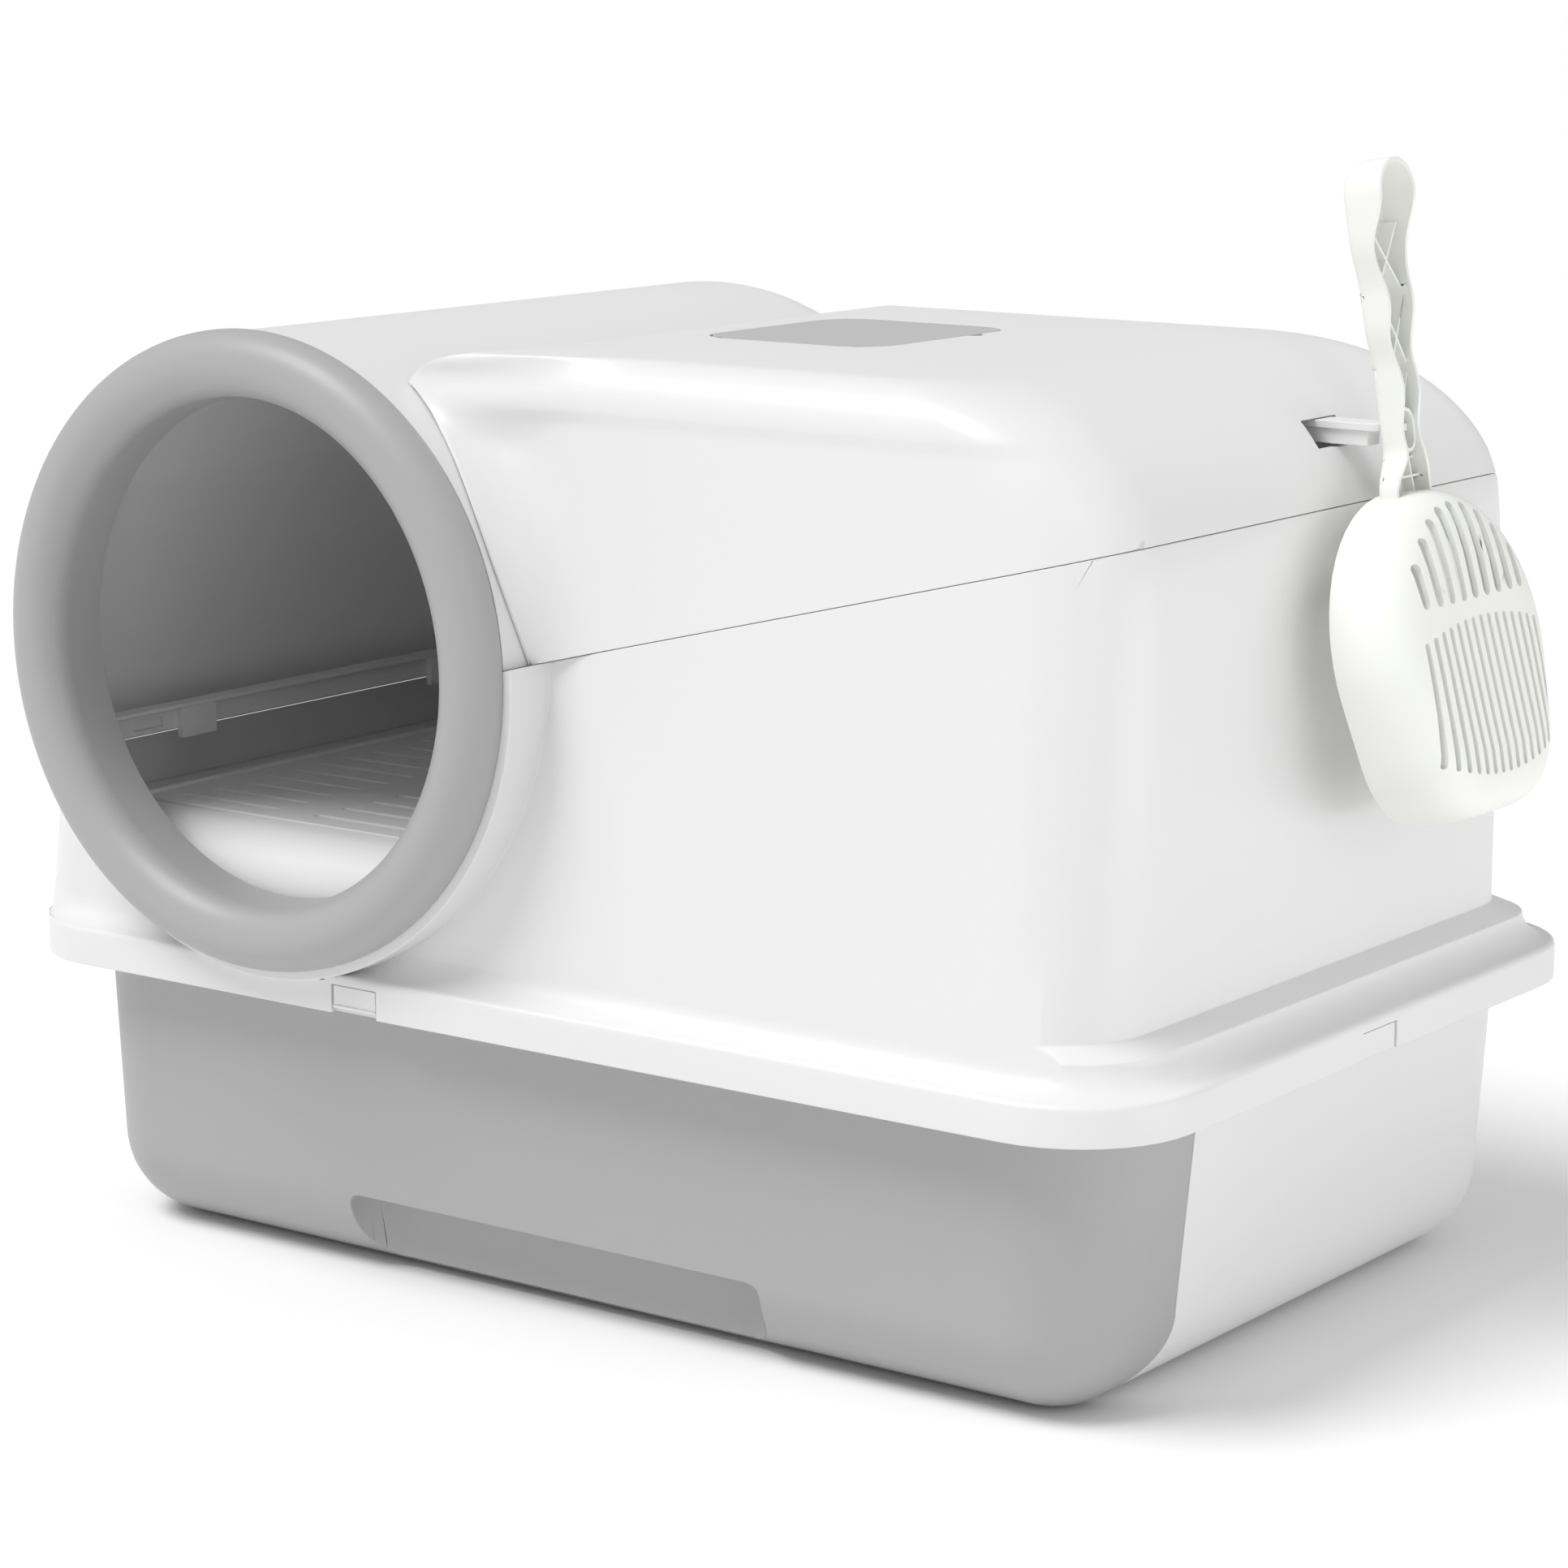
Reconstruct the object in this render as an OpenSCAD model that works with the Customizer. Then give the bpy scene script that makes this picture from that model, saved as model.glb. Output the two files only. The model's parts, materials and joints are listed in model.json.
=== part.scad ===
// Cat litter box: a base with a front drawer under a hood with a round entrance, a tunnel and a flip lid.
// Millimetres, +Z up. X runs across the front, -Y is the front. The origin is the middle of the underside.

/* [Body] */
// Width over the hood's rim band
rim_w = 560; // [550:1:570]
// Depth over the hood's rim band
rim_d = 375; // [370:1:380]
// Plan radius of the rim band's corners
rim_r = 50; // [46:1:52]
// Height of the base, up to the rim band's lower edge
base_h = 117; // [115:1:118]
// Height of the rim band
band_h = 16; // [16:1:18]
// Height of the lid's flat top above the floor
top_z = 385; // [383:1:388]
// Wall thickness of the shells
wall = 2.5; // [2.2:0.1:2.8]
// Gap between pieces of different bodies
gap = 0.4; // [0.3:0.05:0.5]

/* [Base and drawer] */
// How far the base's side walls stand in from the rim band
base_inset = 18; // [17:1:19]
// Radius of the base's bottom edge
base_fillet = 38; // [36:1:39]
// Depth of the drawer front's returns round the corners, from the base's front
return_d = 68; // [60:1:70]
// Width of the finger recess under the drawer front
recess_w = 210; // [180:5:230]
// Height of the finger recess
recess_h = 34; // [28:1:38]
// Depth of the finger recess
recess_d = 20; // [16:1:21]

/* [Hood] */
// How far the hood's walls stand in from the rim band at their foot
hood_inset = 13; // [12:0.5:14]
// Inward lean of the hood's walls for each millimetre of height
draft = 0.064; // [0.06:0.002:0.068]
// Radius of the lid's right top edge
right_r = 80; // [76:1:82]
// Radius of the lid's back top edge
back_r = 62; // [58:1:64]
// Radius of the lid's front top edge and of its left shoulder
front_r = 21; // [19:1:22]
// Height of the parting line between lower hood and lid above the middle of the box
seam_z = 266.3; // [264:0.5:268]
// Rise of the parting line for each millimetre to the right
seam_rise = 0.247; // [0.24:0.005:0.25]

/* [Entrance] */
// Position of the tunnel's axis, left of the middle
ring_x = -129; // [-131:1:-128]
// Height of the tunnel's axis
ring_z = 261; // [259:1:262]
// Outer radius of the entrance ring
ring_r = 130; // [129:0.5:131]
// Radius of the entrance ring's rounded section
ring_tube = 13.5; // [12:0.5:14]
// Outer radius of the tunnel cover
tunnel_r = 128.5; // [127.5:0.5:128.5]
// Radius of the tunnel cover's back edge
tunnel_end_r = 46; // [40:1:50]
// How far the ring's seat stands in front of the rim band
seat_out = 2; // [2:0.5:4]

/* [Pedal] */
// Height of the pedal's top face above the floor
pedal_z = 181; // [178:1:184]
// Length of a pedal slot
slot_l = 54.4; // [50:0.2:56]
// Width of a pedal slot
slot_w = 3.4; // [3:0.2:4]
// Distance between slot rows
slot_pitch = 17.3; // [17:0.1:17.4]

/* [Filter] */
// Size of the filter cover across the box
cover_w = 88; // [84:1:96]
// Size of the filter cover front to back
cover_d = 104; // [94:1:108]
// Corner radius of the filter cover
cover_r = 18; // [16:1:20]
// Middle of the filter cover, right of the box's middle
cover_x = 37; // [34:1:40]
// Middle of the filter cover, behind the box's middle
cover_y = -6.5; // [-10:0.5:-4]

/* [Scoop] */
// Middle of the scoop, behind the box's middle
scoop_y = 30.5; // [29.5:0.5:31.5]
// Largest width of the scoop's head
head_w = 120; // [114:1:122]
// Depth of the scoop's head at its top
head_d = 30; // [28:1:32]
// Lean of the scoop's head, its lower end away from the hood
head_lean = 12.5; // [10:0.5:13]
// Wall thickness of the scoop
scoop_wall = 2.2; // [2:0.1:2.4]
// Number of wide slots in the head
wide_slots = 9; // [5:2:9]
// Number of narrow slots in the head
narrow_slots = 15; // [9:2:15]

/* [Hidden] */
$fn = 96;
hull_fn = 32;
far = 400;
eps = 0.1;

white = [0.95, 0.95, 0.95];
grey = [0.72, 0.72, 0.72];
pale_grey = [0.77, 0.77, 0.77];
cream = [0.96, 0.96, 0.94];
charcoal = [0.16, 0.16, 0.16];
steel = [0.6, 0.6, 0.62];

// Base
base_w = rim_w - 2 * base_inset;
base_d = rim_d - 2 * (base_inset - 1);
base_r = rim_r;
base_lean = 8;
fillet_x = base_w / 2 - base_lean - base_fillet;
fillet_y = base_d / 2 - base_lean / 2 - base_fillet;
return_y = -base_d / 2 + return_d;
return_top_r = 12;
return_low_r = 34;
recess_r = recess_d - 1;
recess_back = -base_d / 2 + 3 + recess_d;
panel_t = 3;
rim_gap = wall + 1;
rim_seat = base_h + band_h - wall - gap;
upstand_t = 3;

// Drawer tray
tray_top = base_h - 13;
tray_w = base_w - 21;
tray_front = recess_back + wall + 3;
tray_back = base_d / 2 - 10.5;
tray_mid = (tray_front + tray_back) / 2;
tray_d = tray_back - tray_front;
tray_r = 40;
tray_fillet = base_fillet - 6;
lip_w = 5;
lip_h = 3.5;
runner_z = tray_top - lip_h - gap;
runner_h = 5;
runner_in = tray_w / 2 + 0.7;
boss_x = [-200, -70, 70, 200];
boss_z = 75;
boss_r = 6;
screw_r = 1.6;

// Hood
flange_z = base_h + band_h - wall;
hood_r = 40;
crown_z = 400;
right_x = rim_w / 2 - 103;
shoulder_x = -44;
tunnel_back = 160;
seat_y = -rim_d / 2 - seat_out;
seat_r = tunnel_r + 5;
collar_r = ring_r - 2 * ring_tube;
collar_t = 2.5;
collar_end = seat_y + 17.5;
front_top_y = -rim_d / 2 + 27 + front_r;
back_top_y = 163 - back_r;

// Lid hinge, in the valley between the tunnel cover and the lid
hinge_x = -49.5;
hinge_z = 368;
knuckle_r = 3.6;
pin_r = 1.5;
hinge_y = [-80, 80];
knuckle_l = 16;
leaf_l = 11.6;
hinge_dist = norm([hinge_x - ring_x, hinge_z - ring_z]);
hinge_angle = atan2(hinge_z - ring_z, hinge_x - ring_x);

// Inside the hood
pedal_t = 3;
pedal_r = 12;
pedal_x0 = -247;
pedal_x1 = -9;
pedal_y0 = -140.5;
pedal_y1 = 158;
slot_x = [-203.5, -128, -52.5];
slot_y0 = -127;
slot_rows = 16;
frame_top = pedal_z - pedal_t - gap;
frame_h = 6;
sill_r = 28;
strip_x = -259.9;
strip_z = 204;

// Filter
basket_top = top_z - wall - eps;
basket_z = top_z - 25;
basket_t = 2;

// Scoop and hook
head_x = 261;
head_top = 332;
head_h = 128.5;
head_low_w = 106;
head_low_r = 38;
face_lean = 3.1;
wide_pitch = 9.4;
wide_foot = -44.7;
narrow_pitch = 6.2;
hole_low = 17.5;
hole_high = 32;
hole_w = 8.6;
handle_lean = 9.3;
handle_foot = [267.7, scoop_y, head_top];
handle_low = -16;
handle_end = 111;
foot_half = 14;
waist_half = 6.85;
neck_half = 9.8;
top_half = 13.5;
foot_depth = 8.5;
grip_depth = 11;
grip_wave = 1.1;
top_depth = 15.6;
hook_z = 360;
hook_t = 3;
tab_y0 = 22;
tab_y1 = 35;
tab_x1 = 262;
nose_x1 = 269;

function inset_at(z) = hood_inset + draft * (z - flange_z);
function seam_at(x) = seam_z + seam_rise * x;

// Runs smoothly from a to b while t runs from 0 to 1
function ease(a, b, t) = a + (b - a) * (1 - cos(180 * max(0, min(1, t)))) / 2;

// Half width of the scoop's handle at the height h above its foot
function half_at(h) = h < 30 ? ease(foot_half, waist_half, (h - 1) / 18)
    : h < 72 ? ease(waist_half, neck_half, (h - 48) / 18)
    : ease(neck_half, top_half, (h - 76) / 24);

// Depth of the scoop's handle at the height h above its foot: two waves, then a deeper top
function depth_at(h) = h < 16 ? ease(foot_depth, grip_depth, (h - 1) / 15)
    : h < 91 ? grip_depth + grip_wave * cos(360 * (h - 41) / 33)
    : ease(grip_depth - grip_wave, top_depth, (h - 93) / 24);

// ---------- shared shapes ----------

// Rectangle with round corners, centred
module rounded_rect(w, d, r) {
    square([w - 2 * r, d], center = true);
    square([w, d - 2 * r], center = true);
    for (sx = [-1, 1], sy = [-1, 1])
        translate([sx * (w / 2 - r), sy * (d / 2 - r)]) circle(r);
}

// Slab with round corners between two heights
module slab(w, d, r, z0, z1) {
    translate([0, 0, z0]) linear_extrude(z1 - z0) rounded_rect(w, d, r);
}

// Frame with round corners: a slab with a smaller slab taken out
module slab_ring(w, d, r, t, z0, z1) {
    difference() {
        slab(w, d, r, z0, z1);
        slab(w - 2 * t, d - 2 * t, r - t, z0 - 1, z1 + 1);
    }
}

// Box given by its two corners
module box(a, b) {
    translate(a) cube(b - a);
}

// Prism along X of an outline drawn in Y and Z
module along_x(x0, x1) {
    translate([x0, 0, 0]) rotate([90, 0, 90]) linear_extrude(x1 - x0) children();
}

// Prism along Y of an outline drawn in X and Z
module along_y(y0, y1) {
    translate([0, y1, 0]) rotate([90, 0, 0]) linear_extrude(y1 - y0) children();
}

// Cylinder along Y between two depths, centred on x and z
module rod_y(x, z, r, y0, y1) {
    translate([x, y1, z]) rotate([90, 0, 0]) cylinder(h = y1 - y0, r = r);
}

// Slot with round ends, long in the first direction
module slot(l, w) {
    square([l - w, w], center = true);
    for (s = [-1, 1]) translate([s * (l - w) / 2, 0]) circle(w / 2);
}

// ---------- base and drawer ----------

// The base's outer form, drawn in by i; its top runs on by lift
module base_form(i, lift) {
    hull() {
        slab(base_w - 2 * i, base_d - 2 * i, base_r - i, base_h - eps, base_h + lift, $fn = hull_fn);
        for (sx = [-1, 1], sy = [-1, 1])
            translate([sx * fillet_x, sy * fillet_y, base_fillet])
                sphere(base_fillet - i, $fn = hull_fn);
    }
}

// Side view of the space that the drawer front fills, grown by g
module drawer_side(g) {
    y1 = return_y + g;
    z1 = base_h - gap + g;
    rt = return_top_r;
    rl = return_low_r;
    translate([-far, rl - g]) square([far + y1, z1 - rt - rl + g]);
    translate([-far, z1 - rt - eps]) square([far + y1 - rt, rt + eps]);
    translate([y1 - rt, z1 - rt]) circle(rt);
    translate([-far, -g]) square([far + y1 - rl, rl + eps]);
    translate([y1 - rl, rl - g]) circle(rl);
}

module drawer_zone(g) {
    along_x(-far, far) drawer_side(g);
}

module base_frame() color(white) {
    difference() {
        base_form(0, 0);
        base_form(wall, 1);
        drawer_zone(gap);
    }
    // Rim plate and upstand that the hood sits on
    difference() {
        slab(rim_w - 2 * rim_gap, rim_d - 2 * rim_gap, rim_r - rim_gap, base_h, rim_seat);
        slab(base_w - 2 * wall - 2, base_d - 2 * wall - 2, base_r - wall, base_h - 1, rim_seat + 1);
        slab(rim_w - 2 * (rim_gap + upstand_t), rim_d - 2 * (rim_gap + upstand_t),
            rim_r - rim_gap - upstand_t, base_h + upstand_t, rim_seat + 1);
    }
}

// Rail on the base's side wall that the tray's lip slides on
module runner() {
    difference() {
        box([runner_in, return_y + 6, runner_z - runner_h], [base_w / 2 - 4.2, base_d / 2 - 46, runner_z]);
        box([runner_in - 1, return_y + 5, runner_z - runner_h - 1],
            [runner_in + 2, base_d / 2 - 45, runner_z - 2]);
    }
}

module left_runner() color(white) mirror([1, 0, 0]) runner();

module right_runner() color(white) runner();

// Finger recess, grown by g
module finger_recess(g) {
    depth = 2 * recess_d + 20;
    translate([0, recess_back - depth / 2, 0])
        slab(recess_w + 2 * g, depth + 2 * g, recess_r + g, -5, recess_h + g);
}

module drawer_front() color(grey) {
    difference() {
        intersection() {
            base_form(0, 0);
            drawer_zone(0);
            union() {
                difference() {
                    box([-far, -far, -1], [far, return_y + 1, base_h + 1]);
                    base_form(panel_t, 1);
                }
                finger_recess(wall);
            }
        }
        finger_recess(0);
    }
}

// The litter tray's form, drawn in by i
module tray_form(i, lift) {
    hull() {
        translate([0, tray_mid, 0])
            slab(tray_w - 2 * i, tray_d - 2 * i, tray_r - i, tray_top - eps, tray_top + lift, $fn = hull_fn);
        for (sx = [-1, 1], y = [tray_front + tray_fillet, tray_back - 2 - tray_fillet])
            translate([sx * fillet_x, y, base_fillet]) sphere(tray_fillet - i, $fn = hull_fn);
    }
}

module drawer_tray() color(pale_grey) {
    difference() {
        union() {
            tray_form(0, 0);
            translate([0, tray_mid, 0])
                slab(tray_w + 2 * lip_w, tray_d + 2 * lip_w - 4, tray_r + lip_w - 2,
                    tray_top - lip_h, tray_top);
        }
        tray_form(wall, 1);
        for (x = boss_x) rod_y(x, boss_z, screw_r + 0.4, tray_front - 10, tray_front + 10);
    }
}

// Bosses behind the drawer front that the tray is screwed to
module drawer_bosses() color(grey) {
    for (x = boss_x)
        difference() {
            rod_y(x, boss_z, boss_r, -base_d / 2 + panel_t + 1, tray_front - eps);
            rod_y(x, boss_z, screw_r, tray_front - 14, tray_front + 1);
        }
}

module drawer_screws() color(steel) {
    for (x = boss_x) {
        rod_y(x, boss_z, screw_r, tray_front - 12, tray_front + wall + 1.5);
        rod_y(x, boss_z, 3.2, tray_front + wall + 1.4, tray_front + wall + 3.2);
    }
}

// ---------- hood ----------

// Drafted block with round vertical corners, drawn in by i
module draft_block(i) {
    hull() {
        for (z = [flange_z - i, crown_z])
            slab(rim_w - 2 * (inset_at(z) + i), rim_d - 2 * (inset_at(z) + i), hood_r - i,
                z, z + eps, $fn = hull_fn);
    }
}

// Front view of the block: low under the tunnel, full height to its right
module front_outline(i) {
    r = right_r - i;
    s = front_r - i;
    spring = top_z - right_r;
    translate([-far, 0]) square([far + shoulder_x + front_r, ring_z]);
    translate([shoulder_x + i, 0]) square([far, spring]);
    translate([shoulder_x + i, spring - eps]) square([front_r, right_r - front_r + eps]);
    translate([shoulder_x + front_r, spring - eps])
        square([right_x - shoulder_x - front_r, right_r + eps - i]);
    translate([shoulder_x + front_r, top_z - front_r]) circle(s);
    translate([right_x, spring]) circle(r);
}

// Side view of the block, with its front and back top edges rounded
module side_outline(i) {
    spring = top_z - back_r;
    translate([-far, 0]) square([2 * far, spring]);
    translate([-far, spring - eps]) square([far + back_top_y, back_r - front_r + eps]);
    translate([front_top_y, top_z - front_r - eps])
        square([back_top_y - front_top_y, front_r + eps - i]);
    translate([front_top_y, top_z - front_r]) circle(front_r - i);
    translate([back_top_y, spring]) circle(back_r - i);
}

module block_form(i) {
    intersection() {
        draft_block(i);
        along_y(-far / 2, far / 2) front_outline(i);
        along_x(-far, far) side_outline(i);
    }
}

// The tunnel, drawn in by i, with a rounded back end
module tunnel_form(i) {
    r = tunnel_r - i;
    f = tunnel_end_r - i;
    back = tunnel_back - i;
    front = -seat_y - i;
    translate([ring_x, 0, ring_z]) rotate([90, 0, 0]) rotate_extrude() {
        translate([0, -back]) square([r - f, back + front]);
        translate([0, f - back]) square([r, back + front - f]);
        translate([r - f, f - back]) circle(f);
    }
}

module hood_form(i) {
    block_form(i);
    tunnel_form(i);
}

// Everything above (side = 1) or below (side = -1) the parting line, shifted by g
module seam_side(side, g) {
    along_y(-far, far)
        polygon([[-far, seam_at(-far) + g], [far, seam_at(far) + g], [far, side * 2 * far],
            [-far, side * 2 * far]]);
}

module entrance_bore() {
    rod_y(ring_x, ring_z, tunnel_r - wall, seat_y + wall, -rim_d / 2 + 40);
    rod_y(ring_x, ring_z, collar_r + collar_t + gap, seat_y - 5, seat_y + 5);
}

// Seat for the lower half of the ring, standing out of the front wall
module ring_seat() {
    difference() {
        intersection() {
            rod_y(ring_x, ring_z, seat_r, seat_y, -rim_d / 2 + 20);
            seam_side(-1, 0);
        }
        box([ring_x - seat_r, -rim_d / 2, 0], [ring_x + seat_r, 0, flange_z]);
    }
}

module clip_notches(g) {
    z1 = base_h + 7;
    box([-93 + g, -rim_d / 2 - 1, base_h - 1], [-70 - g, -rim_d / 2 + wall + 1, z1 - g]);
    box([60 + g, rim_d / 2 - wall - 1, base_h - 1], [83 - g, rim_d / 2 + 1, z1 - g]);
    for (s = [-1, 1])
        box([s * (rim_w / 2) - wall - 1, -9 + g, base_h - 1], [s * (rim_w / 2) + wall + 1, 18 - g, z1 - g]);
}

module hood_lower() color(white) {
    difference() {
        union() {
            intersection() {
                block_form(0);
                seam_side(-1, 0);
            }
            slab(rim_w, rim_d, rim_r, flange_z, flange_z + wall);
            slab_ring(rim_w, rim_d, rim_r, wall, base_h, flange_z + eps);
            ring_seat();
        }
        block_form(wall);
        entrance_bore();
        clip_notches(0);
    }
}

module tunnel_cover() color(white) {
    difference() {
        intersection() {
            hood_form(0);
            seam_side(1, gap);
            union() {
                rod_y(ring_x, ring_z, tunnel_r, -far, far);
                box([-far, -far, 0], [ring_x, far, far]);
            }
        }
        hood_form(wall);
        entrance_bore();
    }
}

module flip_lid() color(white) {
    difference() {
        intersection() {
            block_form(0);
            seam_side(1, gap);
        }
        block_form(wall);
        rod_y(ring_x, ring_z, tunnel_r + gap, -far, far);
        box([-far, -far, 0], [ring_x + 1, far, far]);
        // Opening over the filter, with a finger notch beside it
        translate([cover_x, cover_y, 0])
            slab(cover_w + 2 * gap, cover_d + 2 * gap, cover_r + gap, top_z - 10, top_z + 10);
        translate([cover_x + cover_w / 2, cover_y + 20, top_z - 10]) cylinder(h = 20, r = 5);
        // Slot that the scoop hook comes through
        box([right_x + 30, tab_y0 - 11, hook_z - 9.5], [right_x + 85, tab_y1 + 3, hook_z + gap]);
    }
}

module entrance_ring() color(grey) {
    mid = ring_r - ring_tube;
    translate([ring_x, 0, ring_z]) rotate([90, 0, 0]) rotate_extrude() {
        difference() {
            translate([mid, -seat_y + 1.5]) circle(ring_tube);
            translate([0, -seat_y - 2 * ring_tube + 0.2]) square([ring_r + 1, 2 * ring_tube]);
        }
        translate([collar_r, -seat_y + 0.2]) square([2 * ring_tube, 1.4]);
        translate([collar_r, -collar_end]) square([collar_t, collar_end - seat_y + 1]);
    }
}

// Snap hooks that hold the ring's collar behind its seat
module ring_clips() color(grey) {
    for (a = [45:90:315])
        translate([ring_x, seat_y + wall + eps, ring_z]) rotate([0, a, 0])
            translate([collar_r + collar_t, 0, -7]) cube([4, 6, 14]);
}

// Inner strip along the left wall that covers the parting line, with a ledge on top
module seam_strip() color(white) {
    box([strip_x, -150, strip_z], [strip_x + 5, 130, strip_z + 9.5]);
    box([strip_x, -150, strip_z + 9.4], [strip_x + 9, 130, strip_z + 11]);
}

module shell_clips() color(white) {
    for (y = [-105, 60])
        box([strip_x + 5, y, strip_z - 4], [strip_x + 8, y + 21, strip_z + 9.4]);
}

// Snap tabs that fill the notches in the rim band
module rim_clips() color(white) {
    intersection() {
        clip_notches(0.3);
        slab_ring(rim_w - 1.2, rim_d - 1.2, rim_r - 0.6, wall - 0.8, base_h + 0.2, flange_z);
    }
}

// Ledge round the space under the tunnel that carries the pedal
module pedal_frame() color(white) {
    z0 = frame_top - frame_h;
    intersection() {
        draft_block(wall - 0.5);
        difference() {
            box([-far, pedal_y0, z0], [pedal_x1 + 5, far, frame_top]);
            box([pedal_x0 + 8, pedal_y0 + 12, z0 - 1], [pedal_x1 - 8, pedal_y1 - 8, frame_top + 1]);
        }
    }
}

// Curved step from the entrance up to the pedal
module entry_sill() color(white) {
    intersection() {
        draft_block(wall + 0.3);
        along_x(pedal_x0 - 3, pedal_x1 - 9)
            translate([pedal_y0 - 0.5, pedal_z - 1 - sill_r])
                intersection() {
                    difference() {
                        circle(sill_r);
                        circle(sill_r - wall);
                    }
                    translate([-sill_r - 1, 0]) square(sill_r + 1);
                }
    }
}

// Outline of a hinge knuckle with its bore; children add the web that carries it
module knuckle_outline(bore_r) {
    difference() {
        union() {
            translate([hinge_x, hinge_z]) circle(knuckle_r);
            children();
        }
        translate([hinge_x, hinge_z]) circle(bore_r);
    }
}

// Knuckles on the tunnel cover, each on a short web
module cover_hinge_leaf() color(white) {
    for (yc = hinge_y, s = [-1, 1]) {
        y0 = s < 0 ? yc - knuckle_l / 2 - gap - leaf_l : yc + knuckle_l / 2 + gap;
        along_y(y0, y0 + leaf_l) knuckle_outline(pin_r + 0.02)
            translate([hinge_x, hinge_z]) rotate(hinge_angle)
                translate([tunnel_r - hinge_dist - 0.3, -2]) square([hinge_dist - tunnel_r - 1.5, 4]);
    }
}

module hinge_pins() color(steel) {
    for (yc = hinge_y)
        rod_y(hinge_x, hinge_z, pin_r, yc - knuckle_l / 2 - leaf_l, yc + knuckle_l / 2 + leaf_l);
}

// Knuckles on the lid's shoulder
module lid_hinge_leaf() color(white) {
    for (yc = hinge_y)
        along_y(yc - knuckle_l / 2, yc + knuckle_l / 2) knuckle_outline(pin_r + 0.05)
            translate([hinge_x + 2, hinge_z - 2]) square([shoulder_x + 0.6 - hinge_x - 2, 3.5]);
}

// Tongues inside the lid's right wall that drop behind the lower hood
module lid_catches() color(white) {
    x1 = rim_w / 2 - inset_at(seam_at(250)) - wall;
    z = seam_at(x1);
    for (y = [-90, 70]) {
        box([x1 - 8.3, y, z - 10], [x1 - 6.3, y + 24, z + 4.5]);
        box([x1 - 6.4, y, z + 1], [x1 - 2, y + 24, z + 4.5]);
    }
}

// Tray under the lid's opening, with a slotted floor
module filter_basket() color(white) {
    translate([cover_x, cover_y, 0]) difference() {
        union() {
            slab(cover_w + 14, cover_d + 14, cover_r + 6, basket_top - basket_t, basket_top);
            slab(cover_w - 6, cover_d - 6, cover_r - 3, basket_z, basket_top - 1);
        }
        slab(cover_w - 10, cover_d - 10, cover_r - 5, basket_z + basket_t, basket_top + 1);
        for (y = [-36:9:36])
            translate([0, y, basket_z - 1]) linear_extrude(basket_t + 2) slot(cover_w - 30, 4);
    }
}

module carbon_filter() color(charcoal) {
    translate([cover_x, cover_y, 0])
        slab(cover_w - 12, cover_d - 12, cover_r - 6, basket_z + basket_t + 0.2, basket_z + 16);
}

module filter_cover() color(pale_grey) {
    translate([cover_x, cover_y, 0])
        slab(cover_w, cover_d, cover_r, basket_top + 0.15, top_z);
}

// Hook with a flat tab, a nose for the scoop, a web under it and a foot plate inside the lid
module scoop_hook() color(white) {
    x0 = right_x + 46;
    mid = (tab_y0 + tab_y1) / 2;
    box([x0, tab_y0, hook_z - hook_t], [tab_x1, tab_y1, hook_z]);
    box([tab_x1 - eps, scoop_y - 3.8, hook_z - hook_t], [nose_x1, scoop_y + 3.8, hook_z]);
    box([x0, mid - 5, hook_z - 9], [x0 + 34, mid + 5, hook_z - hook_t + eps]);
    box([x0 - 4, tab_y0 - 12, hook_z - 14], [x0 + eps, tab_y1 + 4, hook_z + 3]);
}

// ---------- pedal ----------

module pedal() color(white) {
    translate([0, 0, pedal_z - pedal_t]) linear_extrude(pedal_t) difference() {
        translate([(pedal_x0 + pedal_x1) / 2, (pedal_y0 + pedal_y1) / 2])
            rounded_rect(pedal_x1 - pedal_x0, pedal_y1 - pedal_y0, pedal_r);
        for (x = slot_x, k = [0:slot_rows - 1])
            translate([x, slot_y0 + k * slot_pitch]) slot(slot_l, slot_w, $fn = 24);
    }
}

// ---------- scoop ----------

// Moves a shape drawn at the head's top into the leaning head
module in_head() {
    translate([head_x, scoop_y, head_top]) rotate([0, -head_lean, 0]) children();
}

// The head's form: egg-shaped slices that shrink towards its face, drawn in by i
module head_form(i) {
    r = head_w / 2 - i;
    q = head_low_r - i;
    depths = [i > 0 ? -2 : 0, head_d - 14 - i, head_d - 7 - i, head_d - 3 - i, head_d - i];
    insets = [0, 0, 2.5, 8, 24];
    in_head() hull() {
        for (k = [0:4])
            rotate([0, k > 0 ? -face_lean : 0, 0]) along_x(depths[k], depths[k] + eps) {
                translate([0, -head_w / 2]) circle(r - insets[k], $fn = hull_fn);
                for (s = [-1, 1])
                    translate([s * (head_low_w / 2 - head_low_r), head_low_r - head_h])
                        circle(q - insets[k], $fn = hull_fn);
            }
    }
}

module scoop_bowl() color(cream) {
    wide_half = (wide_slots - 1) / 2;
    narrow_half = (narrow_slots - 1) / 2;
    difference() {
        head_form(0);
        head_form(scoop_wall);
        in_head() along_x(head_d - 13, head_d + 12) {
            for (k = [-wide_half:wide_half]) {
                l = 38.5 - 0.0145 * pow(k * wide_pitch, 2);
                translate([k * wide_pitch, wide_foot + l / 2]) rotate(90) slot(l, 5.2, $fn = 24);
            }
            for (k = [-narrow_half:narrow_half]) {
                // 1 in the middle, falling to 0 at the outermost slots
                arc = 1 - pow(k * narrow_pitch / 43.4, 2);
                top = 5.6 * arc - 56.6;
                foot = -104.5 - 7.6 * arc;
                translate([k * narrow_pitch, (top + foot) / 2]) rotate(90) slot(top - foot, 2.8, $fn = 24);
            }
        }
    }
}

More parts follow.
